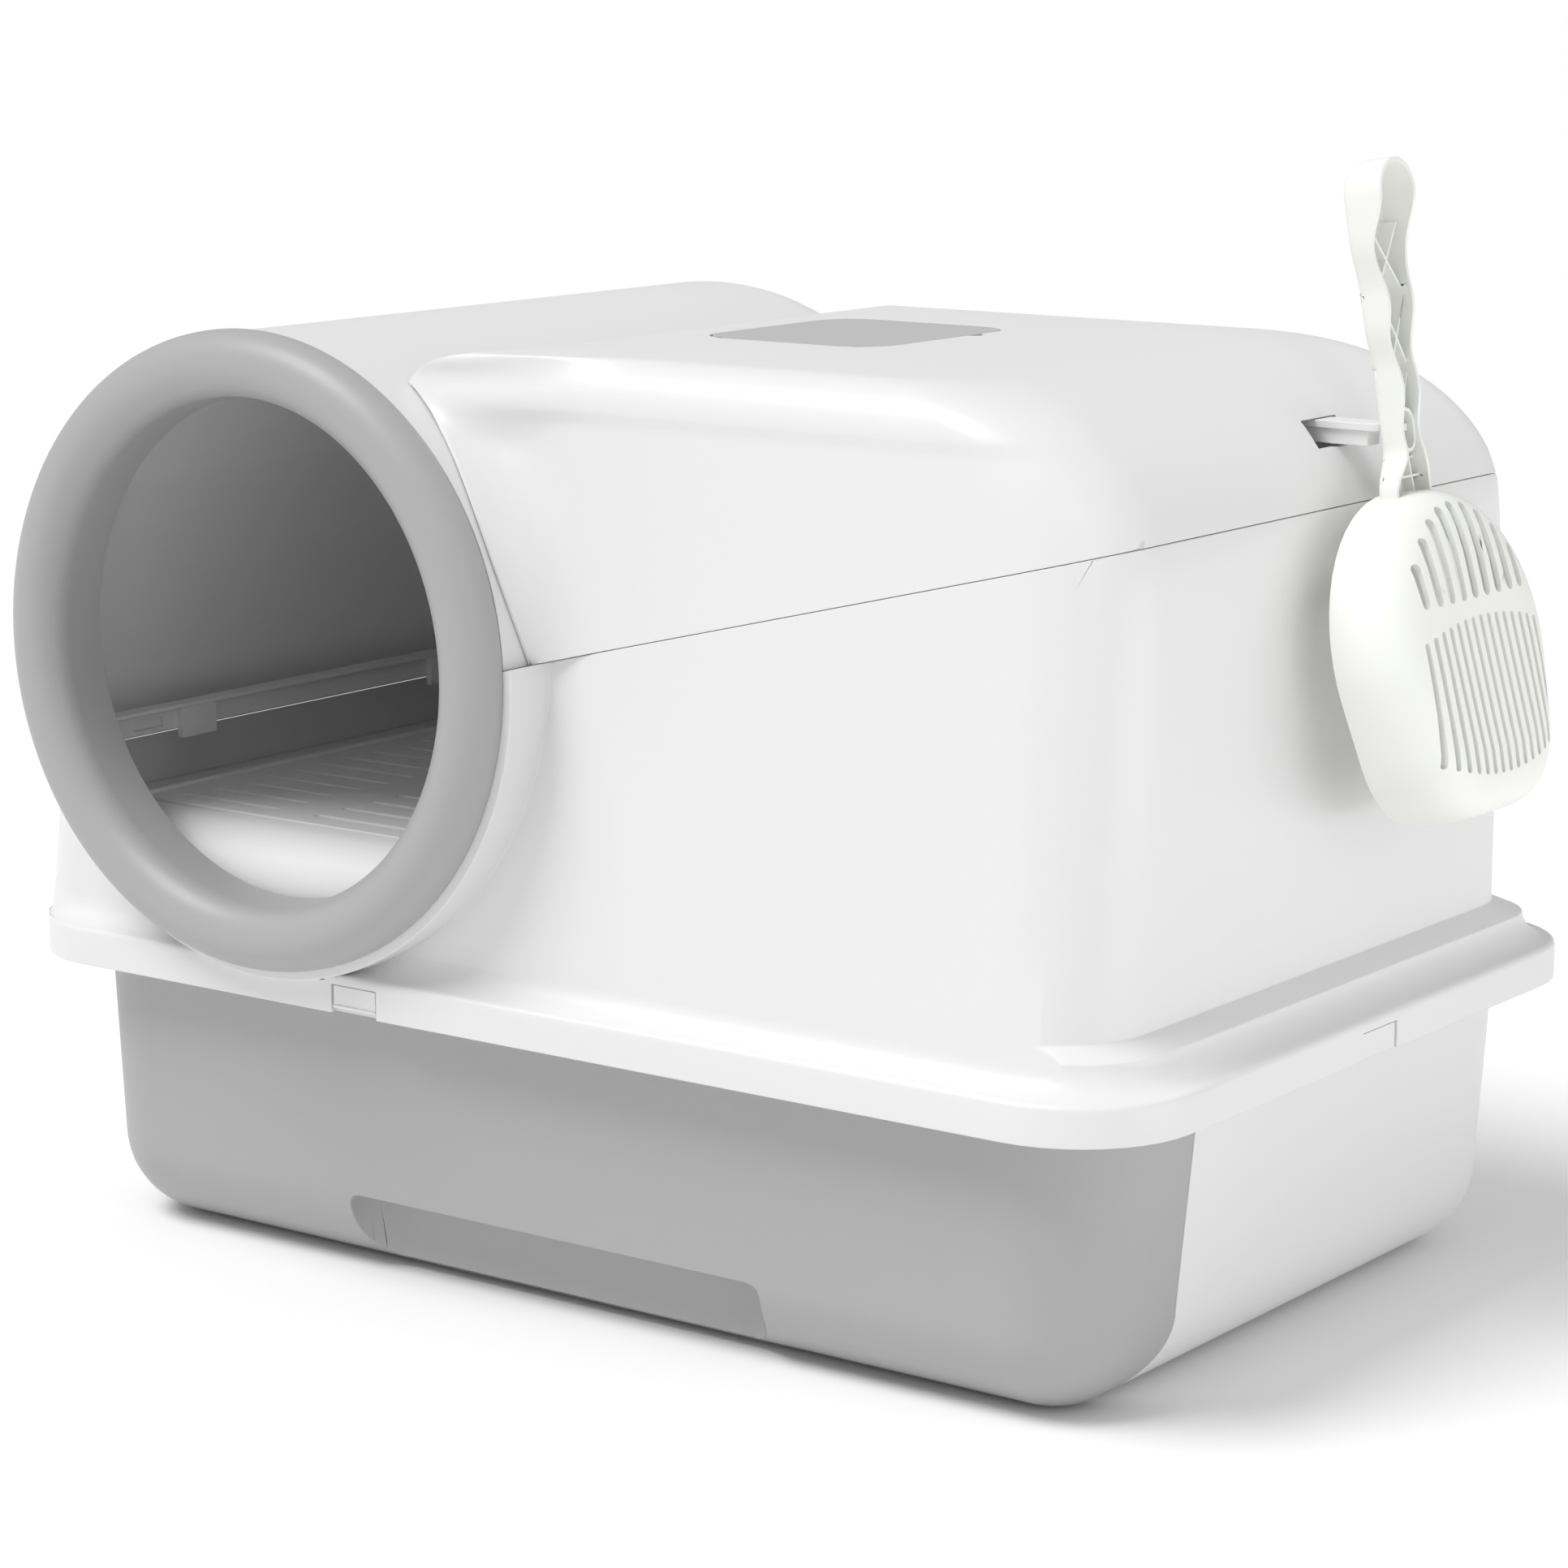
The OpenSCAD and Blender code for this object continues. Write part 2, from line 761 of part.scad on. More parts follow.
// Front view of the handle, drawn in by i
module handle_outline(i) {
    polygon([for (h = [handle_low, 1, each [4:5:104], handle_end]) [half_at(h) - i, h],
        for (h = [handle_end, each [104:-5:4], 1, handle_low]) [i - half_at(h), h]]);
    translate([0, handle_end]) circle(top_half - i);
}

// Side view of the handle
module handle_side() {
    top = handle_end + top_half + 1.5;
    polygon([[0, handle_low], for (h = [handle_low, 1, each [4:5:119], top]) [depth_at(h), h], [0, top]]);
}

// Channel that is open to the right, with a collar round its hanging hole
module scoop_handle() color(cream) {
    hole_mid = (hole_low + hole_high) / 2;
    hole_l = hole_high - hole_low;
    difference() {
        translate(handle_foot) rotate([0, -handle_lean, 0]) difference() {
            intersection() {
                along_x(0, 20) handle_outline(0);
                along_y(-20, 20) handle_side();
                union() {
                    along_x(-1, scoop_wall) handle_outline(0);
                    along_x(0, 20) difference() {
                        handle_outline(0);
                        handle_outline(scoop_wall);
                    }
                    along_x(0, 8) translate([0, hole_mid]) rotate(90) slot(hole_l + 3, hole_w + 3);
                }
            }
            along_x(-1, 20) translate([0, hole_mid]) rotate(90) slot(hole_l, hole_w);
        }
        head_form(0);
    }
}

base_frame();
left_runner();
right_runner();
drawer_front();
drawer_tray();
drawer_bosses();
drawer_screws();
hood_lower();
tunnel_cover();
entrance_ring();
ring_clips();
seam_strip();
shell_clips();
rim_clips();
pedal_frame();
entry_sill();
cover_hinge_leaf();
hinge_pins();
flip_lid();
lid_hinge_leaf();
lid_catches();
filter_basket();
carbon_filter();
scoop_hook();
filter_cover();
pedal();
scoop_bowl();
scoop_handle();
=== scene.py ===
"""Cat litter box with hood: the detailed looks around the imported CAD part.

Lengths are millimetres, and make() turns them into Blender's metres. -Y is the front and +Z is up.
"""
import json
import math

import bmesh
import bpy
from mathutils import Matrix, Vector


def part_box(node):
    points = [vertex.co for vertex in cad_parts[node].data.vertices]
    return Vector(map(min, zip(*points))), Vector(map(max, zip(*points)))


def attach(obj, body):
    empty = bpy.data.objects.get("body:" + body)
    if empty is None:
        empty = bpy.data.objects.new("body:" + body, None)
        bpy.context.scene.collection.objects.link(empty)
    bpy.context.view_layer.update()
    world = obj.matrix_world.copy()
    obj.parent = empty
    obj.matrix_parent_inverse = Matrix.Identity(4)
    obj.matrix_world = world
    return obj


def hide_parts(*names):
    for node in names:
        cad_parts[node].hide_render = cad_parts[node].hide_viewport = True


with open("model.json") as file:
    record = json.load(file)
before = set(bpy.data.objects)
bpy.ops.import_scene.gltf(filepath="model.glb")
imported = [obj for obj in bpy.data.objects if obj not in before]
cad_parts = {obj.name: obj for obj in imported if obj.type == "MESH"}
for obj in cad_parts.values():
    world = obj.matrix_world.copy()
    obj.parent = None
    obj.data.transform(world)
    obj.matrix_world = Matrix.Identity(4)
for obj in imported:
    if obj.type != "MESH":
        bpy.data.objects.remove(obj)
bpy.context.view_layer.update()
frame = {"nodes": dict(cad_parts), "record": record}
nodes = frame["nodes"]
MM = 0.001


def box_mm(node):
    """Low and high corner of a CAD node."""
    low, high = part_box(node)
    return low / MM, high / MM


# ---------- named values, from the CAD boxes where they give them ----------
hood_low, hood_high = box_mm("hood_lower")
ring_low, ring_high = box_mm("entrance_ring")
cover_low, cover_high = box_mm("filter_cover")
pedal_low, pedal_high = box_mm("pedal")
strip_low, strip_high = box_mm("seam_strip")

# every wall, the gap between pieces, and a reach past the whole object
WALL, GAP, FAR = 2.5, 0.4, 400

# rim band: half sizes, corner radius at the front right, underside and top
RIM_X, RIM_Y, RIM_R = hood_high.x, hood_high.y, 50
BASE_H = hood_low.z
FLANGE = BASE_H + 16

# hood walls: inset from the band, lean per millimetre of height, and the same for the left wall
HOOD_INSET, DRAFT = 13, 0.064
LEFT_INSET, LEFT_DRAFT = 2.2, 0.05

# corner radii of the hood and the band, at front left, front right, back right and back left
HOOD_R, BACK_RIGHT_R = 40, 31
HOOD_RADII = (25, HOOD_R, BACK_RIGHT_R, 25)
BAND_RADII = (45, RIM_R, 45, 45)

# lid: its top, the radii that round it off, and where its sides stand
TOP = cover_high.z
RIGHT_R, BACK_R, FRONT_R = 80, 62, 21
RIGHT_X, SHOULDER_X = RIM_X - 103, -44
FRONT_Y, BACK_Y = -139.5, 101
LIP_Y = -166.5

# parting line between the lower hood and the pieces above it: height at x = 0, and rise along X
SEAM_Z, SEAM_RISE = 266.3, 0.247

# spans of the snap tabs' notches in the band: along X at the front and back, along Y at the sides
FRONT_NOTCH, BACK_NOTCH, SIDE_NOTCH = (-93.5, -69.5), (60, 83), (-9, 18)

# entrance ring, the tunnel behind it and the seat under it
RING_X = (ring_low.x + ring_high.x) / 2
RING_Z = (ring_low.z + ring_high.z) / 2
RING_R, TUBE = (ring_high.x - ring_low.x) / 2, 13.5
COLLAR_R = RING_R - 2 * TUBE
TUNNEL_R, TUNNEL_BACK, END_R = 128.5, 160, 46
SEAT_Y, SEAT_R = hood_low.y, 134

# base: half sizes at its top, lean of its walls, bottom edge, back end of the drawer's returns, finger recess
BASE_X, BASE_Y, BASE_LEAN, FILLET = 262, 170.5, 8, 38
RETURN_Y = -BASE_Y + 68
RECESS_H = 34

# scoop: places of the head and the handle's foot, how they lean, and their main sizes
SCOOP_Y = 30.5
HEAD_TOP, HEAD_LEAN = Vector((261, SCOOP_Y, 332)), 12.5
HANDLE_FOOT, HANDLE_LEAN = Vector((265.6, SCOOP_Y, 332)), 9.3
HEAD_DEPTH, HEAD_TAPER = 30, 0.054
HANDLE_LOW, CROWN_H, CROWN_R = -16, 114.3, 14.4


# ---------- mesh helpers ----------
def make(name, verts, faces):
    """New object from millimetre points, with its faces turned outwards."""
    mesh = bpy.data.meshes.new(name)
    mesh.from_pydata([Vector(v) * MM for v in verts], [], faces)
    obj = bpy.data.objects.new(name, mesh)
    bpy.context.scene.collection.objects.link(obj)
    bm = bmesh.new()
    bm.from_mesh(mesh)
    bmesh.ops.recalc_face_normals(bm, faces=bm.faces)
    bm.to_mesh(mesh)
    bm.free()
    return obj


def loft(name, rings, closed=False):
    """Solid through rings of points; closed joins the last ring to the first instead of capping both ends."""
    n, count = len(rings[0]), len(rings)
    verts = [p for ring in rings for p in ring]
    faces = []
    for k in range(count if closed else count - 1):
        a, b = k * n, (k + 1) % count * n
        faces += [(a + i, a + (i + 1) % n, b + (i + 1) % n, b + i) for i in range(n)]
    if not closed:
        faces += [tuple(range(n))[::-1], tuple(range((count - 1) * n, count * n))]
    return make(name, verts, faces)


def prism(name, outline, axis, a, b):
    """Outline of pairs pushed along an axis from a to b."""
    def place(p, t):
        return {"x": (t, p[0], p[1]), "y": (p[0], t, p[1]), "z": (p[0], p[1], t)}[axis]
    return loft(name, [[place(p, t) for p in outline] for t in (a, b)])


def box(name, a, b):
    return prism(name, [(a[0], a[1]), (b[0], a[1]), (b[0], b[1]), (a[0], b[1])], "z", a[2], b[2])


def arc(cx, cy, r, a0, a1, n):
    """Points round a centre, from angle a0 to a1 in n steps."""
    return [(cx + r * math.cos(math.radians(a0 + (a1 - a0) * k / n)),
             cy + r * math.sin(math.radians(a0 + (a1 - a0) * k / n))) for k in range(n + 1)]


def rounded(x0, x1, y0, y1, radii, n=10):
    """Rectangle with its own radius at front left, front right, back right and back left."""
    fl, fr, br, bl = [max(r, 0.05) for r in radii]
    return (arc(x0 + fl, y0 + fl, fl, 180, 270, n) + arc(x1 - fr, y0 + fr, fr, 270, 360, n)
            + arc(x1 - br, y1 - br, br, 0, 90, n) + arc(x0 + bl, y1 - bl, bl, 90, 180, n))


def stadium(cx, cy, length, width, n=8):
    """Slot outline with round ends, long along its first axis."""
    h = (length - width) / 2
    return arc(cx + h, cy, width / 2, -90, 90, n) + arc(cx - h, cy, width / 2, 90, 270, n)


def stadium_up(w, h, length, width):
    """Slot outline with round ends, long along its second axis."""
    return [(w + b, h + a) for a, b in stadium(0, 0, length, width, 6)]


def ring_at(outline, z):
    return [(x, y, z) for x, y in outline]


def lathe_y(name, profile, cx, cz, n=128):
    """Closed profile of (radius, y) pairs turned round an axis along Y."""
    rings = []
    for k in range(n):
        a = 2 * math.pi * k / n
        rings.append([(cx + r * math.cos(a), y, cz + r * math.sin(a)) for r, y in profile])
    return loft(name, rings, closed=True)


def disc(name, r, y0, y1, n=128):
    """Cylinder round the tunnel's axis, from y0 to y1."""
    return prism(name, arc(RING_X, RING_Z, r, 0, 360 - 360 / n, n - 1), "y", y0, y1)


def drop(obj):
    mesh = obj.data
    bpy.data.objects.remove(obj)
    bpy.data.meshes.remove(mesh)


def apply_modifiers(obj):
    graph = bpy.context.evaluated_depsgraph_get()
    mesh = bpy.data.meshes.new_from_object(obj.evaluated_get(graph))
    old = obj.data
    obj.modifiers.clear()
    obj.data = mesh
    bpy.data.meshes.remove(old)


def boolean(obj, operation, *tools):
    """Combines obj with each tool in turn and drops the tools."""
    for tool in tools:
        modifier = obj.modifiers.new("cut", "BOOLEAN")
        modifier.solver, modifier.operation, modifier.object = "EXACT", operation, tool
        apply_modifiers(obj)
        drop(tool)
    return obj


def cut(obj, *tools):
    return boolean(obj, "DIFFERENCE", *tools)


def keep(obj, *tools):
    return boolean(obj, "INTERSECT", *tools)


def join(obj, *tools):
    return boolean(obj, "UNION", *tools)


def merge(obj, *others):
    """Adds the others' faces to obj without cutting anything."""
    bm = bmesh.new()
    bm.from_mesh(obj.data)
    for other in others:
        bm.from_mesh(other.data)
        drop(other)
    bm.to_mesh(obj.data)
    bm.free()
    return obj


def soften(obj, width=0.6, segments=2, angle=32):
    """Cleans the mesh, rounds its edges and shades it smooth."""
    weld, sliver, most_sides = 0.02, 0.01, 6
    bm = bmesh.new()
    bm.from_mesh(obj.data)
    bmesh.ops.remove_doubles(bm, verts=bm.verts, dist=weld * MM)
    bmesh.ops.dissolve_degenerate(bm, edges=bm.edges, dist=sliver * MM)
    # a large face with holes tears under the bevel, so it becomes triangles
    bmesh.ops.triangulate(bm, faces=[f for f in bm.faces if len(f.verts) > most_sides])
    for f in bm.faces:
        f.smooth = True
    for e in bm.edges:
        e.smooth = len(e.link_faces) != 2 or e.calc_face_angle(0) < math.radians(angle)
    bm.to_mesh(obj.data)
    bm.free()
    if width:
        bevel = obj.modifiers.new("edges", "BEVEL")
        bevel.width, bevel.segments = width * MM, segments
        bevel.limit_method, bevel.angle_limit = "ANGLE", math.radians(angle)
        bevel.harden_normals = True
        bevel.use_clamp_overlap = False
    return obj


# ---------- materials ----------
def plastic(name, colour, roughness, grain=0.04, specular=0.5):
    """Moulded plastic with uneven gloss and a fine grain."""
    material = bpy.data.materials.new(name)
    material.use_nodes = True
    tree = material.node_tree
    shader = tree.nodes["Principled BSDF"]
    shader.inputs["Base Color"].default_value = (*colour, 1)
    shader.inputs["Specular IOR Level"].default_value = specular
    coord = tree.nodes.new("ShaderNodeTexCoord")
    wear = tree.nodes.new("ShaderNodeTexNoise")
    wear.inputs["Scale"].default_value = 45
    wear.inputs["Detail"].default_value = 4
    span = tree.nodes.new("ShaderNodeMapRange")
    span.inputs["To Min"].default_value = roughness - 0.03
    span.inputs["To Max"].default_value = roughness + 0.04
    fine = tree.nodes.new("ShaderNodeTexNoise")
    fine.inputs["Scale"].default_value = 1400
    bump = tree.nodes.new("ShaderNodeBump")
    bump.inputs["Strength"].default_value = grain
    bump.inputs["Distance"].default_value = 0.0002
    link = tree.links.new
    link(coord.outputs["Object"], wear.inputs["Vector"])
    link(coord.outputs["Object"], fine.inputs["Vector"])
    link(wear.outputs["Fac"], span.inputs["Value"])
    link(span.outputs["Result"], shader.inputs["Roughness"])
    link(fine.outputs["Fac"], bump.inputs["Height"])
    link(bump.outputs["Normal"], shader.inputs["Normal"])
    return material


def metal(name, colour, roughness):
    material = plastic(name, colour, roughness)
    material.node_tree.nodes["Principled BSDF"].inputs["Metallic"].default_value = 1
    return material


MATERIALS = {
    "white_shell": plastic("white_shell", (0.78, 0.78, 0.78), 0.36),
    "grey_trim": plastic("grey_trim", (0.40, 0.40, 0.405), 0.42),
    "pale_grey": plastic("pale_grey", (0.47, 0.47, 0.475), 0.45),
    "carbon_foam": plastic("carbon_foam", (0.03, 0.03, 0.03), 0.9, 0.6),
    "pin_steel": metal("pin_steel", (0.55, 0.56, 0.58), 0.3),
    "scoop_plastic": plastic("scoop_plastic", (0.87, 0.88, 0.845), 0.42),
}


def paint(obj, slot):
    obj.data.materials.clear()
    obj.data.materials.append(MATERIALS[slot])


def piece(obj, body, slot, *stands_for):
    """Paints a finished piece, puts it on its body and hides the CAD nodes that it stands for."""
    paint(obj, slot)
    if stands_for:
        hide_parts(*stands_for)
    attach(obj, body)
    return obj


# ---------- hood forms ----------
def clamp(t):
    return max(0, min(1, t))


def smooth(t):
    """Rises from 0 to 1 with a soft start and end."""
    t = clamp(t)
    return t * t * (3 - 2 * t)


def falloff(place, centre, r, t):
    """How far a wall has come in at a place past the centre of its round edge of radius r, drawn in by t."""
    r, d = r - t, max(0, place - centre)
    return r - math.sqrt(max(0, r * r - d * d))


def round_levels(centre, r, n):
    """Places along a round edge, closer together towards its end."""
    return [centre + r * math.sin(math.radians(90 * k / n)) for k in range(n + 1)]


def seam(x):
    return SEAM_Z + SEAM_RISE * x


def seam_side(up, lift=0.0):
    """Everything above or below the parting line, moved up by lift."""
    z = 600 if up else -200
    line = [(x, seam(x) + lift) for x in (-FAR, FAR)]
    return prism("seam_tool", line + [(FAR, z), (-FAR, z)], "y", -FAR, FAR)


def inset(z):
    """How far the hood's right, front and back walls stand in from the rim band."""
    return HOOD_INSET + DRAFT * (z - FLANGE + WALL)


def left_wall(z):
    """The left wall stands almost flush with the rim band."""
    return -RIM_X + LEFT_INSET + LEFT_DRAFT * (z - FLANGE)


def right_side(z, t):
    curved = RIGHT_X + RIGHT_R - t - falloff(z, TOP - RIGHT_R, RIGHT_R, t)
    return min(RIM_X - inset(z) - t, curved)


def back_side(z, t):
    curved = BACK_Y + BACK_R - t - falloff(z, TOP - BACK_R, BACK_R, t)
    return min(RIM_Y - inset(z) - t, curved)


def front_side(z, t):
    if z < TOP - FRONT_R:
        return -RIM_Y + inset(z) + t
    return FRONT_Y - FRONT_R + t + falloff(z, TOP - FRONT_R, FRONT_R, t)


def low_outline(z, t):
    """Section of the lower hood at a height, drawn in by t."""
    radii = [r - t for r in HOOD_RADII]
    return rounded(left_wall(z) + t, right_side(z, t), front_side(z, t), back_side(z, t), radii)


def band_outline(e, z, t=0.0):
    """Section on the way from the rim band to the hood's foot, e inside the band and drawn in by t."""
    near = min(1, e / HOOD_INSET)
    radii = [band - (band - hood) * near - t for band, hood in zip(BAND_RADII, HOOD_RADII)]
    left = -RIM_X + min(e, LEFT_INSET * near) + t
    return ring_at(rounded(left, RIM_X - e - t, -RIM_Y + e + t, RIM_Y - e - t, radii), z)


def lid_edge_x(z):
    """Where the lid's front ends on the left: on the tunnel, then round the top corner."""
    corner_x, corner_z, reach = -63.2, 372, 40
    if z < corner_z:
        return RING_X + math.sqrt(max(0, (TUNNEL_R + 0.7) ** 2 - (z - RING_Z) ** 2))
    rise = (z - corner_z) / (TOP + 0.5 - corner_z)
    return corner_x + reach * (1 - math.sqrt(max(0, 1 - rise ** 2)))


def lid_levels(t):
    """Heights of the lid's sections, close together where its sides curve."""
    levels = [150, 200, 235, 250] + list(range(255, 300, 4))
    levels += [z for z in round_levels(TOP - RIGHT_R, RIGHT_R - t, 26) if 302 < z < TOP - FRONT_R - 1]
    return levels + [min(z, TOP - t) for z in round_levels(TOP - FRONT_R, FRONT_R - t, 12)]


def lip_y(z):
    """Front of the lip, which runs forward most of all half way up."""
    middle = math.sin(math.pi * clamp((z - 252) / 124))
    return LIP_Y - 18 * middle + falloff(z, TOP - 5, 5, 0)


def front_line(z, front, left, corner, lip):
    """Front of the lid's section from left to right; lip bends its left end forward."""
    steps = (-30, -12, -4, 0, 1.1, 1.5, 2.5, 4, 6, 9, 13, 19, 28, 40, 55, 72, 90)
    if not lip:
        return [(left + (step + 30) * 0.8, front) for step in steps]
    edge, out, high = lid_edge_x(z), max(0, front - lip_y(z)), smooth((z - 350) / 24)
    line = []
    for step in steps:
        away = clamp((step - 1.1) / (30 + 55 * high))
        flare = (1 - high) * (1 - away) ** 2.4 + high * (1 - smooth(away))
        line.append((max(edge + step, corner), front - out * flare))
    return line


def lid_form(t, lip=False):
    """The block to the right of the tunnel; lip adds the front's flare towards the entrance ring."""
    side_places = (60, 0, -40, -70, -90, -110, -125, -137, -146, -152, -156)
    rings = []
    for z in lid_levels(t):
        left = SHOULDER_X + t + falloff(z, TOP - FRONT_R, FRONT_R, t)
        front, back, right = front_side(z, t), back_side(z, t), right_side(z, t)
        corner = min(left, lid_edge_x(z)) if lip else left
        outline = front_line(z, front, left, corner, lip)
        r = HOOD_R - t
        outline += arc(right - r, front + r, r, 270, 360, 12)
        r = BACK_RIGHT_R - t
        outline += arc(right - r, back - r, r, 0, 90, 12)
        outline += arc(left + 3, back - 3, 3, 90, 180, 3)
        # the left side bends out to the corner over its last 60 mm
        outline += [(left + (corner - left) * smooth((-95 - y) / 60), y) for y in side_places]
        rings.append(ring_at(outline, z))
    return loft("lid_skin", rings)


def tunnel_tube(t):
    """The tunnel with its round back end; the inner one also reaches out at the front."""
    start = TUNNEL_BACK - END_R
    front = SEAT_Y + 2 - (10 if t else 0)
    rings = []
    for y in [front, -60, 40] + round_levels(start, END_R - t, 12):
        r = TUNNEL_R - t - falloff(y, start, END_R, t)
        rings.append([(x, y, z) for x, z in arc(RING_X, RING_Z, r, 0, 357, 119)])
    return loft("tunnel_skin", rings)


def tunnel_side(t):
    """The straight wall on the tunnel's left, which bends over into its circle."""
    r = TUNNEL_R - t
    rings = []
    for z in [185, 205, 225] + list(range(235, 340, 8)):
        bend = smooth((z - 228) / 105)
        circle = RING_X - math.sqrt(max(1, r * r - max(0, z - RING_Z) ** 2)) + 1.6
        left = left_wall(z) + t + (circle - left_wall(z) - t) * bend
        back = min(back_side(z, t), 175 - 0.15 * max(0, z - 200) - t) - 24 * bend
        radii = (25 - t, 0, 0, 30 - t)
        rings.append(ring_at(rounded(left, RING_X + 20, front_side(z, t), back, radii, 12), z))
    return loft("tunnel_side", rings)


def tunnel_form(t):
    """Tube and straight side in one solid, drawn in by t."""
    return join(tunnel_tube(t), tunnel_side(t))


# ---------- hood pieces ----------
def hood_shell():
    """Walls up to the parting line on the rim band, with a flare between them."""
    band_r, flare = 2.4, 11.2
    foot = HOOD_INSET + DRAFT * 14
    outer = [(0, BASE_H)] + [(band_r + x, FLANGE - band_r + y) for x, y in arc(0, 0, band_r, 180, 90, 4)]
    outer += [(foot - flare + x, FLANGE + flare + y) for x, y in arc(0, 0, flare, 270, 360, 8)]
    levels = [150, 190, 230, 270, 300] + round_levels(TOP - RIGHT_R, RIGHT_R, 12)[1:5]
    rings = [band_outline(e, z) for e, z in outer]
    rings += [ring_at(low_outline(z, 0), z) for z in levels]
    rings += [ring_at(low_outline(z, WALL), z) for z in levels[::-1]]
    rings += [band_outline(foot, FLANGE + 2, WALL), band_outline(foot, FLANGE - WALL, WALL)]
    rings += [band_outline(WALL, FLANGE - WALL), band_outline(WALL, BASE_H)]
    shell = loft("hood_lower_skin", rings, closed=True)
    return cut(shell, seam_side(True, -0.05), tunnel_bore())


def tunnel_bore():
    """The hole through the hood's front and the seat."""
    return disc("bore", TUNNEL_R - WALL, SEAT_Y + WALL, -RIM_Y + 45, 96)


def ring_seat():
    """Raised seat under the ring's lower half, with the collar's hole in it."""
    seat = disc("seat", SEAT_R, SEAT_Y, -RIM_Y + 22)
    cut(seat, tunnel_bore(), disc("collar_hole", COLLAR_R + WALL + GAP, SEAT_Y - 5, SEAT_Y + 5, 96))
    keep(seat, seam_side(False, -0.05))
    return cut(seat, box("under", (RING_X - 200, -RIM_Y + 1, 0), (RING_X + 200, 0, FLANGE - WALL)))


def build_hood_lower():
    """Lower hood with the ring's seat and the notches in its band."""
    shell = join(hood_shell(), ring_seat())
    low, past, deep = BASE_H - 2, 2, WALL + 2
    (front_0, front_1), (back_0, back_1), (side_0, side_1) = FRONT_NOTCH, BACK_NOTCH, SIDE_NOTCH
    cut(shell, box("notch_front", (front_0, -RIM_Y - past, low), (front_1, -RIM_Y + deep, BASE_H + 12)),
        box("notch_back", (back_0, RIM_Y - deep, low), (back_1, RIM_Y + past, BASE_H + 7)),
        box("notch_right", (RIM_X - deep, side_0, low), (RIM_X + past, side_1, BASE_H + 11)),
        box("notch_left", (-RIM_X - past, side_0, low), (-RIM_X + deep, side_1, BASE_H + 11)))
    return piece(soften(shell, 0.5), "hood", "white_shell", "hood_lower")


def build_rim_clips():
    """Snap tabs in the rim band's notches; the front one has a sloping lip under it."""
    behind, front_gap, gap = 0.7, 0.7, 0.6
    x0, x1 = FRONT_NOTCH[0] + front_gap, FRONT_NOTCH[1] - front_gap
    low = BASE_H + 3.6
    tabs = box("clip_front", (x0, -RIM_Y + behind, low), (x1, -RIM_Y + WALL, BASE_H + 11.6))
    slope = [(-RIM_Y - 0.1, low), (-RIM_Y + 1.4, BASE_H + 1.6), (-RIM_Y + 1.4, low)]
    join(tabs, prism("clip_lip", slope, "x", x0, x1))
    x0, x1 = BACK_NOTCH[0] + gap, BACK_NOTCH[1] - gap
    low = BASE_H + 0.4
    join(tabs, box("clip_back", (x0, RIM_Y - WALL, low), (x1, RIM_Y - behind, BASE_H + 6.6)))
    y0, y1 = SIDE_NOTCH[0] + gap, SIDE_NOTCH[1] - gap
    for side in (-1, 1):
        x0, x1 = sorted((side * (RIM_X - behind), side * (RIM_X - WALL)))
        join(tabs, box("clip_side", (x0, y0, low), (x1, y1, BASE_H + 10.6)))
    return piece(soften(tabs, 0.3, 1), "hood", "white_shell", "rim_clips")


def build_tunnel_cover():
    """Tunnel above the parting line, as far as the lid."""
    shell = tunnel_form(0)
    cut(shell, tunnel_form(WALL), lid_form(WALL), seam_side(False, 0.15))
    # the part of the block that lies inside the tunnel's circle closes the gap behind it
    core = keep(lid_form(0), disc("tunnel_core", TUNNEL_R - 0.1, SEAT_Y + 30, FAR))
    cut(core, lid_form(WALL), tunnel_form(WALL + 0.1), seam_side(False, 0.15))
    merge(shell, core)
    return piece(soften(shell, 0.3), "hood", "white_shell", "tunnel_cover")


def build_lid():
    """Lid with the filter cover's opening, its finger notch and the slot round the scoop's hook."""
    shell = lid_form(0, True)
    cut(shell, lid_form(WALL), seam_side(False, 0.2))
    cut(shell, disc("tunnel_tool", TUNNEL_R + 0.4, -FAR, FAR, 180))
    low_z, high_z = TOP - 9, TOP + 9
    opening = rounded(cover_low.x - GAP, cover_high.x + GAP, cover_low.y - GAP, cover_high.y + GAP,
                      [18 + GAP] * 4, 12)
    cut(shell, prism("opening", opening, "z", low_z, high_z))
    notch_y = (cover_low.y + cover_high.y) / 2 + 20
    cut(shell, prism("finger", arc(cover_high.x, notch_y, 5, 0, 345, 23), "z", low_z, high_z))
    hook_low, hook_high = box_mm("scoop_hook")
    slot = rounded(RIGHT_X + 30, RIGHT_X + 85, hook_low.y + 1, hook_high.y - 1, [3] * 4, 5)
    cut(shell, prism("hook_slot", slot, "z", hook_high.z - 13.2, hook_high.z - 2.6))
    return piece(soften(shell, 0.3), "lid", "white_shell", "flip_lid")


def build_entrance_ring():
    """Half-round ring at the front, with a collar that reaches into the tunnel."""
    back, straight, collar = SEAT_Y - 0.2, 1.3, 17
    mid = RING_R - TUBE
    profile = []
    for a in range(0, 181, 9):
        a = math.radians(a)
        profile.append((mid + TUBE * math.cos(a), back - straight - TUBE * math.sin(a)))
    profile += [(COLLAR_R, back + collar), (COLLAR_R + WALL, back + collar), (COLLAR_R + WALL, back)]
    profile.append((RING_R, back))
    ring = lathe_y("ring_skin", profile, RING_X, RING_Z, 160)
    return piece(soften(ring, 0.3, 1), "hood", "grey_trim", "entrance_ring")


